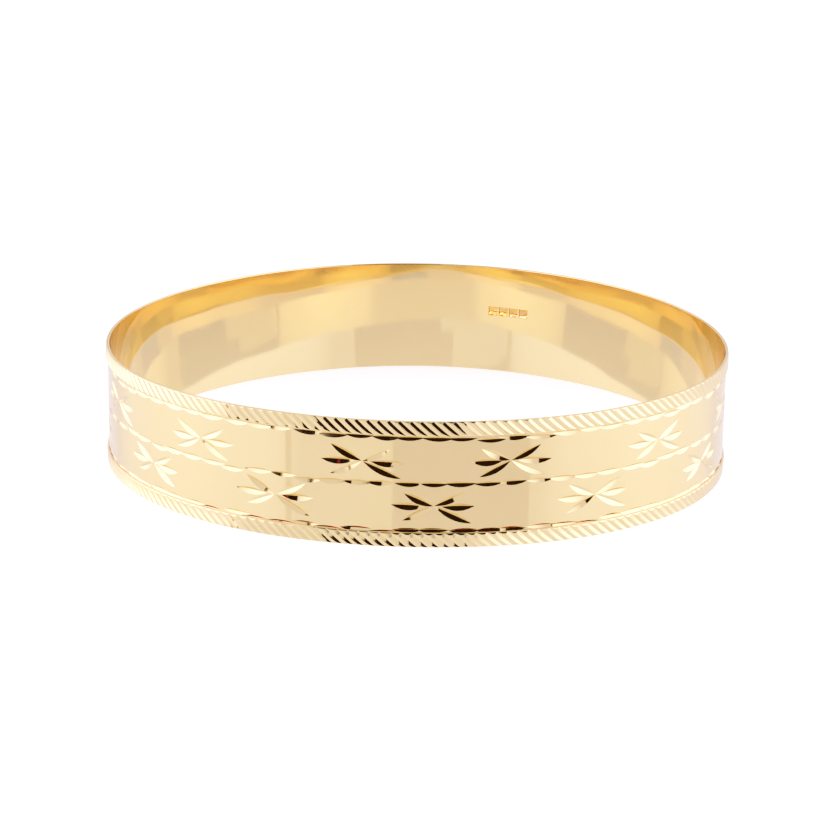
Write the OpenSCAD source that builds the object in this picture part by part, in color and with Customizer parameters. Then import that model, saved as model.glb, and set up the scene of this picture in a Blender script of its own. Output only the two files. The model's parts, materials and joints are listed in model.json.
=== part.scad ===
// Slip-on bangle: a flat strip bent round and soldered closed, with a narrow
// border strip soldered round each edge of its outer face.
// Origin: centre of the circle the bangle stands on, +Z up through the opening.

/* [Band] */
// Inside diameter, the size the bangle is sold by
inner_d = 65; // [56:0.5:72]
// Width of the strip, from rim to rim
band_w = 12.7; // [8:0.1:20]
// Thickness of the strip
band_t = 0.33; // [0.3:0.01:0.8]
// Break on the rims of the strip
rim_break = 0.06; // [0.03:0.01:0.1]

/* [Borders] */
// Width of each border strip
border_w = 1.5; // [1:0.1:2.5]
// Thickness of each border strip
border_t = 0.19; // [0.15:0.01:0.4]
// Bevel on the outer corners of a border strip
border_bevel = 0.1; // [0.04:0.01:0.12]

/* [Solder] */
// Thickness of the solder film under a border strip
film_t = 0.03; // [0.03:0.01:0.06]
// How far the film stops short of the border strip's edges
film_margin = 0.01; // [0:0.01:0.1]
// Width of the soldered gap that closes each ring
seam_w = 0.12; // [0.08:0.01:0.3]
// Direction of the band's seam
band_seam_angle = 104.5; // [0:0.5:360]
// Direction of the upper border's seam
upper_seam_angle = 78; // [0:0.5:360]
// Direction of the lower border's seam
lower_seam_angle = 128; // [0:0.5:360]

/* [Hidden] */
band_in_r = inner_d / 2;
band_out_r = band_in_r + band_t;
border_in_r = band_out_r + film_t;
border_out_r = border_in_r + border_t;
upper_border_z = band_w - border_w;
seam_cut_reach = 3;
gold = [0.93, 0.77, 0.45];
pale_gold = [0.95, 0.84, 0.58];
$fn = 240;

// Half section of the strip, x is the radius
module band_section() {
    polygon([
        [band_in_r + rim_break, 0],
        [band_out_r - rim_break, 0],
        [band_out_r, rim_break],
        [band_out_r, band_w - rim_break],
        [band_out_r - rim_break, band_w],
        [band_in_r + rim_break, band_w],
        [band_in_r, band_w - rim_break],
        [band_in_r, rim_break]
    ]);
}

// Half section of a border strip that stands on z = 0, bevelled outside
module border_section() {
    polygon([
        [border_in_r, 0],
        [border_out_r - border_bevel, 0],
        [border_out_r, border_bevel],
        [border_out_r, border_w - border_bevel],
        [border_out_r - border_bevel, border_w],
        [border_in_r, border_w]
    ]);
}

// Radial slot in which a ring's two ends are soldered together
module seam_slot(angle) {
    rotate([0, 0, angle])
        translate([band_in_r - seam_cut_reach, -seam_w / 2, -1])
            cube([band_t + border_t + 2 * seam_cut_reach, seam_w, band_w + 2]);
}

// Strip bent into a ring, with the slot between its two ends
module strip_ring(angle) {
    difference() {
        rotate_extrude()
            children();
        seam_slot(angle);
    }
}

// Solder that fills the slot between a ring's two ends
module seam_solder(angle) {
    intersection() {
        rotate_extrude()
            children();
        seam_slot(angle);
    }
}

// Film of solder between the band and a border strip that starts at z = foot
module solder_film(foot) {
    translate([0, 0, foot + film_margin])
        rotate_extrude()
            translate([band_out_r, 0])
                square([film_t, border_w - 2 * film_margin]);
}

module band_strip() {
    color(gold)
        strip_ring(band_seam_angle)
            band_section();
}

module band_seam_solder() {
    color(pale_gold)
        seam_solder(band_seam_angle)
            band_section();
}

module upper_border_strip() {
    color(gold)
        translate([0, 0, upper_border_z])
            strip_ring(upper_seam_angle)
                border_section();
}

module upper_border_seam_solder() {
    color(pale_gold)
        translate([0, 0, upper_border_z])
            seam_solder(upper_seam_angle)
                border_section();
}

module upper_border_film() {
    color(pale_gold)
        solder_film(upper_border_z);
}

module lower_border_strip() {
    color(gold)
        strip_ring(lower_seam_angle)
            border_section();
}

module lower_border_seam_solder() {
    color(pale_gold)
        seam_solder(lower_seam_angle)
            border_section();
}

module lower_border_film() {
    color(pale_gold)
        solder_film(0);
}

band_strip();
band_seam_solder();
upper_border_strip();
upper_border_seam_solder();
upper_border_film();
lower_border_strip();
lower_border_seam_solder();
lower_border_film();
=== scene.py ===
import json
import random
from math import asin, atan2, cos, exp, hypot, pi, radians, sin, sqrt, tan

import bmesh
import bpy
from mathutils import Matrix, Vector, noise


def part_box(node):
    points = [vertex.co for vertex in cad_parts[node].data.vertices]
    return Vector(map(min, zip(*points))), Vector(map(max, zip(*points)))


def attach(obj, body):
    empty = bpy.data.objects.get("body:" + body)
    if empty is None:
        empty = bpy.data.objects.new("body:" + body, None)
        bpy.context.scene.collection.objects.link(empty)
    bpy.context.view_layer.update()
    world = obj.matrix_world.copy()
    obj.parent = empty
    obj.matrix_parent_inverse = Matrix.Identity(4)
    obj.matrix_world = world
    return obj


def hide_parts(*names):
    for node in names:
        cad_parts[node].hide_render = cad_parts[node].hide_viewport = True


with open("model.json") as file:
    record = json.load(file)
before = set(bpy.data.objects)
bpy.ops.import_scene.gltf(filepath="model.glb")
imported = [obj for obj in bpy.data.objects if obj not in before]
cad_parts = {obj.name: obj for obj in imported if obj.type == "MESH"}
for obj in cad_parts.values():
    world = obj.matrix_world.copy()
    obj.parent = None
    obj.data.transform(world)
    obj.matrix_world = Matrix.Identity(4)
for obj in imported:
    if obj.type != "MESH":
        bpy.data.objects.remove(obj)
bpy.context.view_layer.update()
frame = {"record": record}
mm = 0.001
random.seed(65)

# ---------------------------------------------------------------- band strip
# The band is one rolled strip of 9 carat gold, bent round and soldered shut.
# Its outer face is polished flat, then cut with a diamond wheel: two rows of
# six-petal stars between three scalloped lines. The inside is left plain.
band_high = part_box("band_strip")[1]
mouth = frame["record"]["mounts"][0]
band_in_r = mouth["dims"]["r_mm"] * mm
field_r = band_high[0]
band_w = band_high[2]
mid_z = band_w / 2
rim_break = (band_w - mouth["dims"]["length_mm"] * mm) / 2
strip_facets = 1440
wall_courses = 18
hair = 0.001 * mm


def strip_ring(points, facets):
    """Bend a closed section, given as (radius, height) points, into a full ring."""
    bm = bmesh.new()
    verts = [bm.verts.new((r, 0, z)) for r, z in points]
    edges = [bm.edges.new(pair) for pair in zip(verts, verts[1:] + verts[:1])]
    bmesh.ops.spin(bm, geom=verts + edges, cent=(0, 0, 0), axis=(0, 0, 1),
                   angle=2 * pi, steps=facets, use_merge=True)
    for v in bm.verts:
        spun_r = v.co.xy.length
        v.co.xy *= min((r for r, _ in points), key=lambda r: abs(r - spun_r)) / spun_r
    bmesh.ops.recalc_face_normals(bm, faces=bm.faces)
    return bm


def on_the_bench(name, bm):
    """Hand a bmesh over as an object at the origin."""
    mesh = bpy.data.meshes.new(name)
    bm.to_mesh(mesh)
    bm.free()
    piece = bpy.data.objects.new(name, mesh)
    bpy.context.scene.collection.objects.link(piece)
    return piece


def cut_with(piece, cutter, how="DIFFERENCE"):
    """Cut a piece with a cutter, or keep only what the cutter covers."""
    cut = piece.modifiers.new("cut", "BOOLEAN")
    cut.operation = how
    cut.solver = "MANIFOLD"
    cut.object = cutter
    bench = bpy.context.evaluated_depsgraph_get()
    mesh = bpy.data.meshes.new_from_object(piece.evaluated_get(bench))
    piece.modifiers.clear()
    piece.data = mesh


wall_steps = [0, 0.01] + [i / wall_courses for i in range(1, wall_courses)] + [0.99, 1]
outer_wall = [(field_r, 0), (field_r, band_w)]
inner_wall = [(band_in_r, band_w * (1 - share)) for share in wall_steps]
band = on_the_bench("band", strip_ring(outer_wall + inner_wall, strip_facets))

# The cutting wheel: steep above its edge and shallow below it, so that every
# cut has one broad bright face that looks up and a thin one that looks down.
# A cut is as long as the wheel's radius and its depth make it.
upper_slope = radians(35)
wheel_clear = 0.1 * mm
wheel_run_out = 1.3
wheel_steps = 14


def wheel_dip(cuts, turn, height, slant, half_length, depth, broad):
    """Add the sector of the wheel that makes one cut, round the band at turn."""
    lower_slope = depth / broad
    wheel_r = 1 / (2 * depth / half_length ** 2 - cos(slant) ** 2 / field_r)
    reach = depth + wheel_clear
    sector = asin(wheel_run_out * half_length / wheel_r)
    edge = cuts.verts.new((-wheel_r, 0, 0))
    upper = cuts.verts.new((reach - wheel_r, 0, reach / tan(upper_slope)))
    lower = cuts.verts.new((reach - wheel_r, 0, -reach / lower_slope))
    section = cuts.faces.new((edge, upper, lower))
    start = Matrix.Rotation(-sector, 3, "Z")
    bmesh.ops.rotate(cuts, verts=section.verts, cent=(0, 0, 0), matrix=start)
    first = len(cuts.verts) - 3
    bmesh.ops.spin(cuts, geom=[section], cent=(0, 0, 0), axis=(0, 0, 1),
                   angle=2 * sector, steps=wheel_steps)
    cuts.verts.ensure_lookup_table()
    place = (Matrix.Rotation(turn, 4, "Z")
             @ Matrix.Translation((field_r - depth + wheel_r, 0, height))
             @ Matrix.Rotation(slant, 4, "X"))
    bmesh.ops.transform(cuts, matrix=place, verts=cuts.verts[first:])


def make_cuts(piece, groups):
    """Cut each group in turn. Cuts that cross are never in one group."""
    for dips in groups:
        cuts = bmesh.new()
        for dip in dips:
            wheel_dip(cuts, *dip)
        bmesh.ops.recalc_face_normals(cuts, faces=cuts.faces)
        cutter = on_the_bench("cutter", cuts)
        cut_with(piece, cutter)
        bpy.data.objects.remove(cutter)


# Stars are set out by eye, so they don't stand quite evenly round the band.
# Angles are round the ring from the front, growing to the right.
front = -pi / 2
upper_stars = (-148, -121, -94, -67, -40.3, -9.3, 16.2, 46, 73, 101, 128, 156, 184)
lower_stars = (-136, -108, -80, -52.8, -25, 3, 32, 60.5, 88, 116, 143, 171, 198)
star_rise = 2.2 * mm

# Petals are cut by hand, so each size has a lowest and a highest value, in
# millimetres. A gap is left between the star's middle and each petal.
level_half, level_gap = (1.55, 1.75), (0.7, 0.85)
level_deep, level_broad = (0.17, 0.195), (0.44, 0.5)
slant_gap, slant_stretch = (0.02, 0.1), (-0.12, 0.15)
# How hard the wheel is pressed, and how far a hand slips, in degrees and in
# millimetres.
wheel_press = (0.97, 1.05)
hand_tilt = 2
hand_slip = 0.06
star_slip = 0.12
# Slanting petals: slope in degrees, half length, how much of it is added on the
# right and taken off on the left, breadth, and depth over breadth.
falling_petal = (-25, 1.82, 0.14, 0.47, 0.39)
rising_petal = (24.5, 1.58, 0, 0.43, 0.355)


def star_dips(turn, height):
    """Three groups of dips for one star: level, falling and rising petals."""
    level, falling, rising = [], [], []
    for side in (-1, 1):
        length = random.uniform(*level_half) * mm
        out = side * (length + random.uniform(*level_gap) * mm)
        level.append((turn + out / field_r, height + random.uniform(-hand_slip, hand_slip) * mm,
                      radians(random.uniform(-hand_tilt, hand_tilt)), length,
                      random.uniform(*level_deep) * mm, random.uniform(*level_broad) * mm))
        for petals, petal in ((falling, falling_petal), (rising, rising_petal)):
            slope, half, longer, broad, share = petal
            slant = radians(slope + random.uniform(-hand_tilt, hand_tilt))
            length = (half + longer * side + random.uniform(*slant_stretch)) * mm
            out = side * (length + random.uniform(*slant_gap) * mm)
            depth = random.uniform(*wheel_press) * share * broad * mm
            petals.append((turn + out * cos(slant) / field_r, height + out * sin(slant), slant,
                           length, depth, broad * mm))
    return level, falling, rising


petal_groups = [[], [], []]
for row, height in ((upper_stars, mid_z + star_rise), (lower_stars, mid_z - star_rise)):
    for place in row:
        slip = random.uniform(-star_slip, star_slip) * mm
        star = star_dips(front + radians(place), height + slip)
        for group, dips in zip(petal_groups, star):
            group += dips

# The scalloped lines are rows of short dips, end to end. Their tips overlap a
# little, so every other dip is cut first, the rest after, and the odd one last.
scallop_count = 79
scallop_lines = (mid_z + 4.72 * mm, mid_z + 0.08 * mm, mid_z - 4.62 * mm)
scallop_half = (1.42, 1.7)
scallop_broad = (0.32, 0.41)
scallop_share = (0.36, 0.39)
scallop_slips = (0, 0, 0, 0, 0, 0, -0.22)
scallop_drift = 0.14
scallop_tilt = 1
scallop_groups = [[], [], []]
for line in scallop_lines:
    for i in range(scallop_count):
        turn = (i + random.uniform(-scallop_drift, scallop_drift)) * 2 * pi / scallop_count
        slip = random.choice(scallop_slips) * mm
        broad = random.uniform(*scallop_broad) * mm
        group = 2 if i == scallop_count - 1 else i % 2
        height = line + slip + random.uniform(-hand_slip, hand_slip) * mm
        tilt = radians(random.uniform(-scallop_tilt, scallop_tilt))
        half = random.uniform(*scallop_half) * mm
        depth = random.uniform(*scallop_share) * broad
        scallop_groups[group].append((turn, height, tilt, half, depth, broad))

make_cuts(band, petal_groups + scallop_groups)

# Inside, a row of four blank punch marks with a grained floor, each struck a
# little aslant. Each is given by its place round the back and its tilt, in degrees.
dents = bmesh.new()
punch_marks = ((15.6, 93.8), (17.8, 93.6), (20, 94), (22.2, 93.7))
punch_rise = 1 * mm
punch_reach = 0.01 * mm
dent_deep = 0.2 * mm
dent_mouth = 0.86 * mm
dent_floor = 0.7 * mm
dent_grain = 0.01
for place, tilt in punch_marks:
    first = len(dents.verts)
    struck = bmesh.ops.create_cone(dents, cap_ends=True, segments=4, radius1=dent_mouth,
                                   radius2=dent_floor, depth=dent_deep)["verts"]
    floor = [v for v in struck if v.co.z > 0]
    sides = {edge for v in floor for edge in v.link_edges if edge.other_vert(v) in floor}
    bmesh.ops.subdivide_edges(dents, edges=list(sides), cuts=4, use_grid_fill=True)
    dents.verts.ensure_lookup_table()
    blank = dents.verts[first:]
    for v in blank:
        if all(face.calc_center_median().z > 0.49 * dent_deep for face in v.link_faces):
            v.co.z += random.uniform(-dent_grain, dent_grain) * mm
    seat = (Matrix.Rotation(pi / 2 - radians(place), 4, "Z")
            @ Matrix.Translation((band_in_r - punch_reach, 0, mid_z + punch_rise))
            @ Matrix.Rotation(radians(tilt), 4, "Y") @ Matrix.Rotation(pi / 4, 4, "Z"))
    bmesh.ops.transform(dents, matrix=seat, verts=blank)
bmesh.ops.recalc_face_normals(dents, faces=dents.faces)
punch = on_the_bench("punch", dents)
cut_with(band, punch)
bpy.data.objects.remove(punch)

# How far the ring is out of round.
swell = 0.0155 * field_r
skew = 0.0041 * field_r


def out_of_round(piece):
    """Bent by hand, the ring is a little three-sided, the same width all ways."""
    for v in piece.data.vertices:
        turn = atan2(v.co.y, v.co.x)
        r = hypot(v.co.x, v.co.y)
        r -= swell * sin(3 * turn) + skew * cos(3 * turn)
        v.co.x = r * cos(turn) + skew
        v.co.y = r * sin(turn) - swell


# The inner wall curls outwards at its edges, less so behind, and is waisted. Its
# mouth flares a little more, from a height in millimetres that wanders round.
curl = 3.2
slack = 3.6 * mm
slack_at = radians(84)
slack_span = radians(14)
waist = 0.06 * mm
flare = 0.03
flare_start = 0.3 * mm
mouth_height = 4.1
mouth_wander = 1.2
mouth_wander_long = 9 * mm
mouth_behind = 2
# Height and length of the waves in the faces.
outer_wave, outer_wave_long = 0.006 * mm, 14 * mm
inner_wave, inner_wave_long = 0.05 * mm, 11 * mm
fine_wave, fine_wave_long = 0.0035 * mm, 3 * mm


def wavy(piece):
    """Bending curls a strip's edges outwards, here less behind and to the right.

    The outer face is cut true again after that, so it keeps only faint waves.
    """
    for v in piece.data.vertices:
        r = hypot(v.co.x, v.co.y)
        if r > band_in_r + 1.2 * rim_break:
            bend = outer_wave * noise.noise(v.co / outer_wave_long)
        else:
            up = v.co.z - mid_z
            behind = exp(-((atan2(v.co.y, v.co.x) - slack_at) / slack_span) ** 2)
            wander = mouth_wander * noise.noise(v.co.xy.to_3d() / mouth_wander_long)
            mouth_up = (mouth_height - wander + mouth_behind * behind) * mm
            past = max(0, up - mouth_up)
            bend = curl * (up ** 2 - slack * behind * up) - waist
            bend += flare * past ** 2 / (past + flare_start)
            bend += inner_wave * noise.noise(v.co / inner_wave_long)
            bend += fine_wave * noise.noise(v.co / fine_wave_long)
        v.co.x *= 1 + bend / r
        v.co.y *= 1 + bend / r


def polished(piece, crisp=radians(6)):
    """Smooth shading, with a crisp edge wherever two cut faces meet."""
    bm = bmesh.new()
    bm.from_mesh(piece.data)
    uncut = {face: all(abs(v.co.xy.length - field_r) < hair for v in face.verts)
             for face in bm.faces}
    for face in bm.faces:
        face.smooth = True
    for edge in bm.edges:
        at_cut = len({uncut[face] for face in edge.link_faces}) == 2
        edge.smooth = edge.calc_face_angle(0) < crisp and not at_cut
    bm.to_mesh(piece.data)
    bm.free()
    even = piece.modifiers.new("even", "WEIGHTED_NORMAL")
    even.keep_sharp = True


def yellow_gold(name, colour, roughness, scratch):
    """Polished gold: fine haze and hairlines that follow the polishing."""
    shade = 0.985
    haze_spread = 2.2
    material = bpy.data.materials.new(name)
    material.use_nodes = True
    nodes = material.node_tree.nodes
    link = material.node_tree.links.new
    shader = nodes["Principled BSDF"]
    shader.inputs["Metallic"].default_value = 1
    where = nodes.new("ShaderNodeTexCoord")
    cloud = nodes.new("ShaderNodeTexNoise")
    cloud.inputs["Scale"].default_value = 160
    cloud.inputs["Detail"].default_value = 3
    link(where.outputs["Object"], cloud.inputs["Vector"])
    tint = nodes.new("ShaderNodeValToRGB")
    tint.color_ramp.elements[0].position = 0.3
    tint.color_ramp.elements[0].color = [c * shade for c in colour] + [1]
    tint.color_ramp.elements[1].position = 0.7
    tint.color_ramp.elements[1].color = list(colour) + [1]
    link(cloud.outputs["Fac"], tint.inputs["Fac"])
    link(tint.outputs["Color"], shader.inputs["Base Color"])
    haze = nodes.new("ShaderNodeMapRange")
    haze.inputs["To Min"].default_value = roughness
    haze.inputs["To Max"].default_value = roughness * haze_spread
    link(cloud.outputs["Fac"], haze.inputs["Value"])
    link(haze.outputs["Result"], shader.inputs["Roughness"])
    stretch = nodes.new("ShaderNodeMapping")
    stretch.inputs["Scale"].default_value = (900, 900, 9000)
    link(where.outputs["Object"], stretch.inputs["Vector"])
    hairs = nodes.new("ShaderNodeTexNoise")
    hairs.inputs["Scale"].default_value = 1
    hairs.inputs["Detail"].default_value = 2
    link(stretch.outputs["Vector"], hairs.inputs["Vector"])
    bump = nodes.new("ShaderNodeBump")
    bump.inputs["Strength"].default_value = scratch
    bump.inputs["Distance"].default_value = 0.001 * mm
    link(hairs.outputs["Fac"], bump.inputs["Height"])
    link(bump.outputs["Normal"], shader.inputs["Normal"])
    return material


gold = yellow_gold("band_gold", (0.88, 0.668, 0.302), 0.03, 0.2)

# ---------------------------------------------------------- seam of the band
# The strip's two ends are closed with a thread of paler gold solder, filed
# flush and cut over, so that it only shows as a faint line behind.
seam_w = 0.12 * mm
seam_deep = 4 * mm


def seam_slot(turn):
    """The gap between a ring's two ends, as a thin block across its wall."""
    bm = bmesh.new()
    bmesh.ops.create_cube(bm, size=1)
    bmesh.ops.scale(bm, verts=bm.verts, vec=(seam_deep, seam_w, 2 * band_w))
    bmesh.ops.translate(bm, verts=bm.verts, vec=(field_r, 0, mid_z))
    bmesh.ops.rotate(bm, verts=bm.verts, cent=(0, 0, 0), matrix=Matrix.Rotation(turn, 3, "Z"))
    return on_the_bench("slot", bm)


def solder_shut(piece, node, name):
    """Part a ring at its seam, and return the thread of solder that fills it."""
    low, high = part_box(node)
    slot = seam_slot(atan2(low[1] + high[1], low[0] + high[0]))
    thread = bpy.data.objects.new(name, piece.data.copy())
    bpy.context.scene.collection.objects.link(thread)
    cut_with(thread, slot, "INTERSECT")
    cut_with(piece, slot)
    bpy.data.objects.remove(slot)
    return thread


def break_rims(piece):
    """Take the sharp corners off both rims of the strip."""
    bm = bmesh.new()
    bm.from_mesh(piece.data)
    rims = []
    for edge in bm.edges:
        heights = [v.co.z for v in edge.verts]
        flat = abs(heights[0] - heights[1]) < hair
        at_rim = min(abs(heights[0]), abs(heights[0] - band_w)) < hair
        if flat and at_rim and edge.calc_face_angle(0) > radians(60):
            across = edge.verts[0].co.xy.length - edge.verts[1].co.xy.length
            if abs(across) < 10 * hair:
                rims.append(edge)
                edge.smooth = True
    bmesh.ops.bevel(bm, geom=rims, offset=rim_break, segments=3, profile=0.5,
                    affect="EDGES", material=-1)
    bm.to_mesh(piece.data)
    bm.free()


band_thread = solder_shut(band, "band_seam_solder", "band_solder")
for piece in (band, band_thread):
    polished(piece)
    break_rims(piece)
    wavy(piece)
    out_of_round(piece)
solder_gold = yellow_gold("joint_gold", (0.88, 0.685, 0.33), 0.05, 0.3)
band.data.materials.clear()
band.data.materials.append(gold)
band_thread.data.materials.clear()
band_thread.data.materials.append(solder_gold)
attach(band, "root")
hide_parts("band_strip")
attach(band_thread, "root")
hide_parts("band_seam_solder")

# -------------------------------------------------------------- border strips
# A narrow domed strip is sweated round each edge of the outer face, then cut
# aslant all round with a wheel. Each flute has a dished face that looks to the
# right and a flat one that looks to the left. The strip tapers to the rim.
border_low, border_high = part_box("upper_border_strip")
border_w = border_high[2] - border_low[2]
crest_r = border_high[0]
border_in_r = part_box("upper_border_film")[1][0]
flute_count = 195
flute_columns = 6
flute_rows = 16
flute_wheel_r = 22 * mm
flute_deep = (0.089, 0.103)
flute_slip = 0.03
flute_deepest = 0.1
flute_crisp = radians(9)
entry_curve = 0.67
dish_curve = 1.35
lean = 0.86 * mm
bow = 0.05 * mm
taper = tan(radians(2))
foot_round = 0.24 * mm
rim_round = 0.13 * mm


def dome_drop(up):
    """How far the uncut dome lies below its crest, up from its foot."""
    drop = 0
    if up < foot_round:
        drop = (crest_r - field_r) * (1 - sqrt(1 - (1 - up / foot_round) ** 2))
    if up > border_w - rim_round:
        past = (up - border_w + rim_round) / rim_round
        drop = rim_round * 0.8 * (1 - sqrt(max(0, 1 - past ** 2)))
    return drop


def fluted_ring(foot_z, side, valley):
    """A domed strip round the band, from its foot up (1) or down (-1) to a rim.

    The valley of each flute lies that share of the way to the next one.
    """
    columns = flute_columns * flute_count
    bm = bmesh.new()
    bmesh.ops.create_grid(bm, x_segments=columns, y_segments=flute_rows, size=0.5)
    depths = [random.uniform(*flute_deep) * mm for _ in range(flute_count)]
    slips = [random.uniform(-flute_slip, flute_slip) for _ in range(flute_count)]
    for v in bm.verts:
        flute, part = divmod(round((v.co.x + 0.5) * columns), flute_columns)
        up = border_w * (1 - cos(pi * (v.co.y + 0.5))) / 2
        climb = 2 * up / border_w - 1
        off_deepest = (climb - flute_deepest) * hypot(lean, border_w / 2)
        rise = off_deepest ** 2 / (2 * flute_wheel_r)
        bare = dome_drop(up)
        starts, ends = [], []
        for each in (flute, flute + 1):
            depth = depths[each % flute_count]
            share = min(0.97, max(0.08, (bare + rise) / depth))
            slip = each + slips[each % flute_count]
            starts.append(slip + valley * share ** entry_curve)
            ends.append(slip + 1 - (1 - valley) * share)
        deepest = flute + slips[flute % flute_count] + valley
        across = (starts[0], 0.6 * starts[0] + 0.4 * deepest, 0.25 * starts[0] + 0.75 * deepest,
                  deepest, ends[0], (ends[0] + starts[1]) / 2)[part]
        drop = bare
        if part in (1, 2, 3):
            reach = 1 - (deepest - across) / valley
            drop = max(bare, depths[flute % flute_count] * reach ** dish_curve - rise)
        middle = side * climb
        turn = across * 2 * pi / flute_count + (bow * middle ** 2 - lean * middle) / crest_r
        r = crest_r - drop - taper * up
        v.co = (r * cos(turn), r * sin(turn), foot_z + side * up)
    bmesh.ops.remove_doubles(bm, verts=bm.verts, dist=2 * hair)
    foot, rim = [], []
    for edge in bm.edges:
        if edge.is_boundary:
            low = abs(edge.verts[0].co.z - foot_z) < border_w / 2
            (foot if low else rim).append(edge)
    loops = []
    for loop in (foot, rim):
        inner = bmesh.ops.extrude_edge_only(bm, edges=loop)["geom"]
        for v in inner:
            if isinstance(v, bmesh.types.BMVert):
                v.co.xy *= border_in_r / v.co.xy.length
        loops += [g for g in inner if isinstance(g, bmesh.types.BMEdge) and g.is_boundary]
    bmesh.ops.bridge_loops(bm, edges=loops)
    bmesh.ops.recalc_face_normals(bm, faces=bm.faces)
    return bm


cut_gold = yellow_gold("border_gold", (0.9, 0.687, 0.32), 0.03, 0.2)
for which, foot_z, side, valley in (("upper", band_w - border_w, 1, 0.5),
                                    ("lower", border_w, -1, 0.56)):
    border = on_the_bench(which + "_border", fluted_ring(foot_z, side, valley))
    thread = solder_shut(border, which + "_border_seam_solder", which + "_border_solder")
    for piece, finish, node, slot in (
            (border, cut_gold, which + "_border_strip", "cut_gold"),
            (thread, solder_gold, which + "_border_seam_solder", "gold_solder")):
        polished(piece, flute_crisp)
        out_of_round(piece)
        piece.data.materials.clear()
        piece.data.materials.append(finish)
        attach(piece, "root")
        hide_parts(node)

# --------------------------------------------------------------- solder films
# The film of solder that holds each border strip on the band. It stops short
# of the strip's edges, so only a hairline of shadow shows along the joint.
film_facets = 720
for which in ("upper", "lower"):
    low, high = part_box(which + "_border_film")
    section = [(field_r, low[2]), (border_in_r, low[2]), (border_in_r, high[2]), (field_r, high[2])]
    film = on_the_bench(which + "_film", strip_ring(section, film_facets))
    polished(film)
    out_of_round(film)
    film.data.materials.append(solder_gold)
    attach(film, "root")
    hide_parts(which + "_border_film")

# --------------------------------------------------------------------- studio
# A white light tent with a lamp at each side, open in front, where the darker
# room shows in the gold. The table is matt white. A second, glossy table shows
# only in reflections. Behind the table the camera sees plain white.
tent_light = 3.7
white_behind = 3
lamp_glow = ((0.6, 0.275), (0.68, 0.46), (0.75, 0.58), (0.9, 0.69))
world = bpy.data.worlds.new("tent")
bpy.context.scene.world = world
world.use_nodes = True
back = world.node_tree.nodes["Background"]
back.inputs["Strength"].default_value = tent_light
heading = world.node_tree.nodes.new("ShaderNodeTexCoord")
split = world.node_tree.nodes.new("ShaderNodeSeparateXYZ")
sideways = world.node_tree.nodes.new("ShaderNodeMath")
sideways.operation = "ABSOLUTE"
lamps = world.node_tree.nodes.new("ShaderNodeValToRGB")
lamps.color_ramp.elements[0].color = (0.25, 0.239, 0.237, 1)
for reach, light in lamp_glow:
    lamps.color_ramp.elements.new(reach).color = (light, 0.915 * light, 1.15 * light, 1)
lamps.color_ramp.elements[-1].color = (0.88, 0.79, 0.96, 1)
link = world.node_tree.links.new
link(heading.outputs["Generated"], split.inputs["Vector"])
link(split.outputs["X"], sideways.inputs[0])
link(sideways.outputs["Value"], lamps.inputs["Fac"])
link(lamps.outputs["Color"], back.inputs["Color"])
beyond = world.node_tree.nodes.new("ShaderNodeBackground")
beyond.inputs["Strength"].default_value = white_behind
seen = world.node_tree.nodes.new("ShaderNodeLightPath")
either = world.node_tree.nodes.new("ShaderNodeMixShader")
link(seen.outputs["Is Camera Ray"], either.inputs["Fac"])
link(back.outputs["Background"], either.inputs[1])
link(beyond.outputs["Background"], either.inputs[2])
link(either.outputs["Shader"], world.node_tree.nodes["World Output"].inputs["Surface"])


def board(name, corners):
    """A flat board from its four corners."""
    bm = bmesh.new()
    bm.faces.new([bm.verts.new(c) for c in corners])
    return on_the_bench(name, bm)


def plain(name, colour, gloss=0.0, glow=0.0):
    """A plain finish for what stands round the bangle."""
    material = bpy.data.materials.new(name)
    material.use_nodes = True
    shader = material.node_tree.nodes["Principled BSDF"]
    shader.inputs["Base Color"].default_value = colour + (1,)
    shader.inputs["Roughness"].default_value = 0.05 if gloss else 1
    shader.inputs["Specular IOR Level"].default_value = gloss
    shader.inputs["Emission Color"].default_value = colour + (1,)
    shader.inputs["Emission Strength"].default_value = glow
    return material


table_size = 1.5
corners = [(x * table_size, y * table_size, 0) for x, y in ((-1, -1), (1, -1), (1, 1), (-1, 1))]
table = board("table", corners)
table.data.materials.append(plain("matt_table", (0.9, 0.9, 0.9), glow=0.8))
table.visible_glossy = False
gloss_table = board("gloss_table", corners)
gloss_table.data.materials.append(plain("gloss_table", (0.65, 0.618, 0.65), gloss=0.5))
gloss_table.visible_camera = False
gloss_table.visible_diffuse = False
gloss_table.visible_shadow = False


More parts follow.
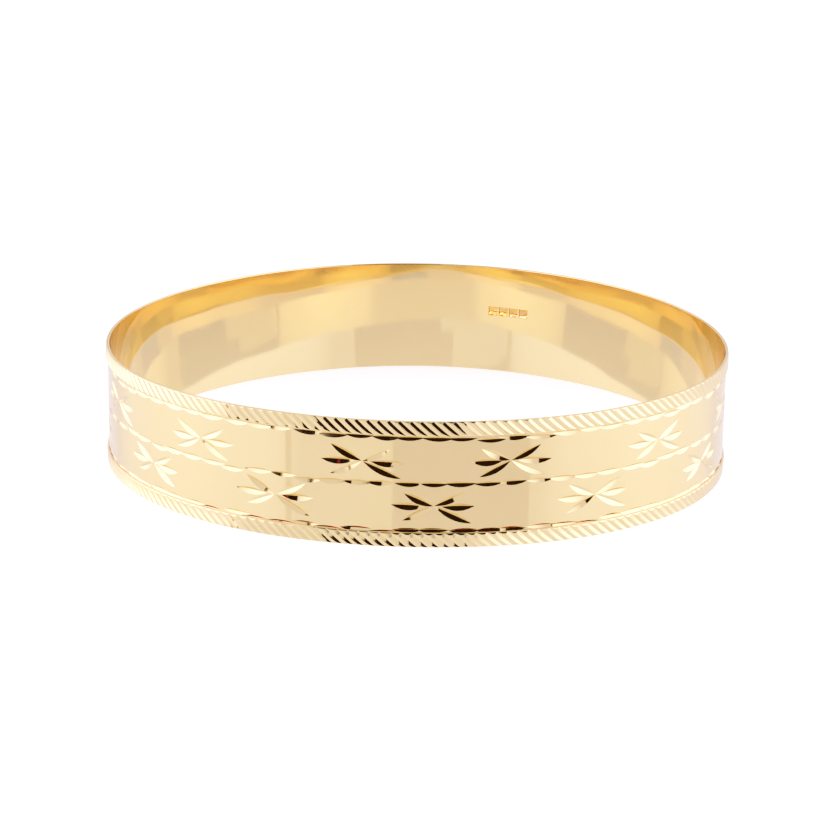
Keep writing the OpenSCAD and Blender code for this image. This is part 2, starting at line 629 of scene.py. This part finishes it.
def dark_board(name, ends, low, high, colour):
    """An upright dark board between two spots on the table, given in metres."""
    (x0, y0), (x1, y1) = ends
    away = hypot(x0 + x1, y0 + y1) / 2
    foot, top = away * tan(radians(low)), away * tan(radians(high))
    dark = board(name, ((x0, y0, foot), (x1, y1, foot), (x1, y1, top), (x0, y0, top)))
    dark.data.materials.append(plain(name, colour))
    dark.visible_camera = False
    dark.visible_diffuse = False
    dark.visible_shadow = False


# Each board's lower and upper edge are given as the angle up from the bangle.
room_dark = (0.01, 0.005, 0.002)
room_top = 62
room_right_end = (0.099, -0.151)
right_corner = (-0.075, -0.5)
left_corner = (-0.13, -0.495)
room_left_end = (-0.42, -0.475)
dark_board("room_right", (room_right_end, right_corner), 3, room_top, room_dark)
dark_board("room_middle", (right_corner, left_corner), 18, room_top, room_dark)
dark_board("room_left", (left_corner, room_left_end), 21.5, room_top, room_dark)
dark_board("red_thing", ((-0.2, -0.35), (-0.18, -0.358)), 24, 34, (0.16, 0.015, 0.03))
dark_board("tent_edge", ((-0.418, -0.477), (-0.435, -0.461)), 2, 21, (0.3, 0.25, 0.15))

# --------------------------------------------------------------------- camera
# The bangle is seen from a little above, from just under 30 cm away. A soft
# shoulder in the tone curve keeps the bright gold from washing out.
view_rise = radians(16.07)
view_roll = radians(0.86)
view_reach = 8.58 * crest_r
ring_centre = Vector((0.0041, -0.0155, 0)) * crest_r + Vector((0, 0, mid_z))
eye = ring_centre + Vector((0, -cos(view_rise), sin(view_rise))) * view_reach
target = ring_centre + Vector((-0.42, -0.65, -2.28)) * mm
aim = (target - eye).to_track_quat("-Z", "Y").to_matrix()
camera = bpy.data.objects.new("camera", bpy.data.cameras.new("camera"))
camera.data.lens = 114.4
camera.data.sensor_width = 36
camera.data.clip_start = 0.01
camera.rotation_euler = (aim @ Matrix.Rotation(view_roll, 3, "Z")).to_euler()
camera.location = eye
bpy.context.scene.collection.objects.link(camera)
bpy.context.scene.camera = camera
bpy.context.scene.cycles.glossy_bounces = 12
tone = bpy.context.scene.view_settings
tone.view_transform = "Standard"
tone.use_curve_mapping = True
tone.curve_mapping.white_level = (1.4, 1.4, 1.4)
for dark, light in ((0.43, 0.6), (0.69, 0.83)):
    tone.curve_mapping.curves[3].points.new(dark, light)
tone.curve_mapping.update()
